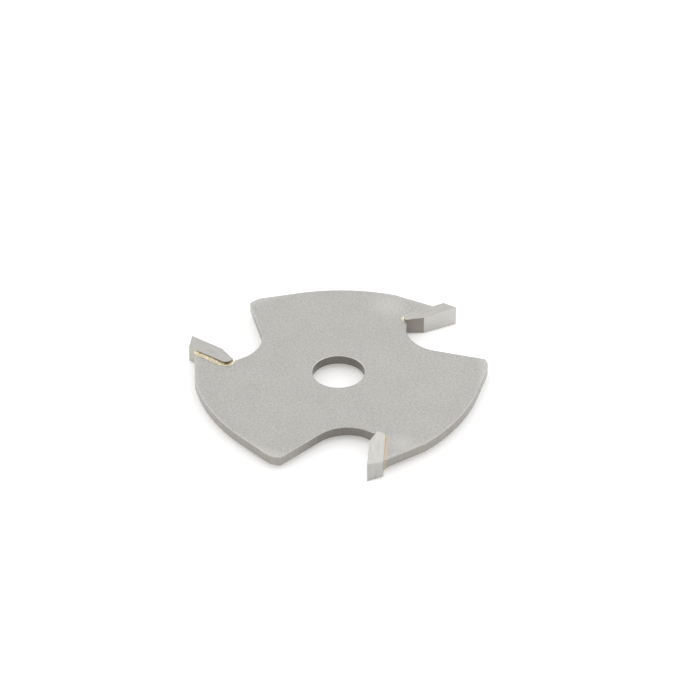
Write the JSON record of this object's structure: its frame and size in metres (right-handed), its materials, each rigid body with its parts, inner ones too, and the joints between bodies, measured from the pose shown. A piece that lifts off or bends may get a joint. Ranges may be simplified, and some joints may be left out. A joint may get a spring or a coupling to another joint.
{
  "type": "slotting cutter",
  "caption": "Slotting cutter for a router arbor: thin steel plate with a round bore, open gullets and a brazed carbide tip on each wing, for cutting narrow grooves in wood.",
  "frame": {"origin": "centre of the bore at the plate's mid-plane", "axes": "+Z along the bore axis; +X through the cutting corner of tip 1; the cutter turns clockwise seen from +Z"},
  "size_m": [0.0451, 0.0443, 0.0032],
  "materials": {
    "tool_steel": "fine matte ground",
    "tungsten_carbide": "diamond ground",
    "brass_braze": "satin, as brazed"
  },
  "bodies": {
    "root": {"cutter_body": "tool_steel", "carbide_tip_1": "tungsten_carbide", "carbide_tip_2": "tungsten_carbide", "carbide_tip_3": "tungsten_carbide", "braze_seam_1": "brass_braze", "braze_seam_2": "brass_braze", "braze_seam_3": "brass_braze"}
  },
  "joints": []
}
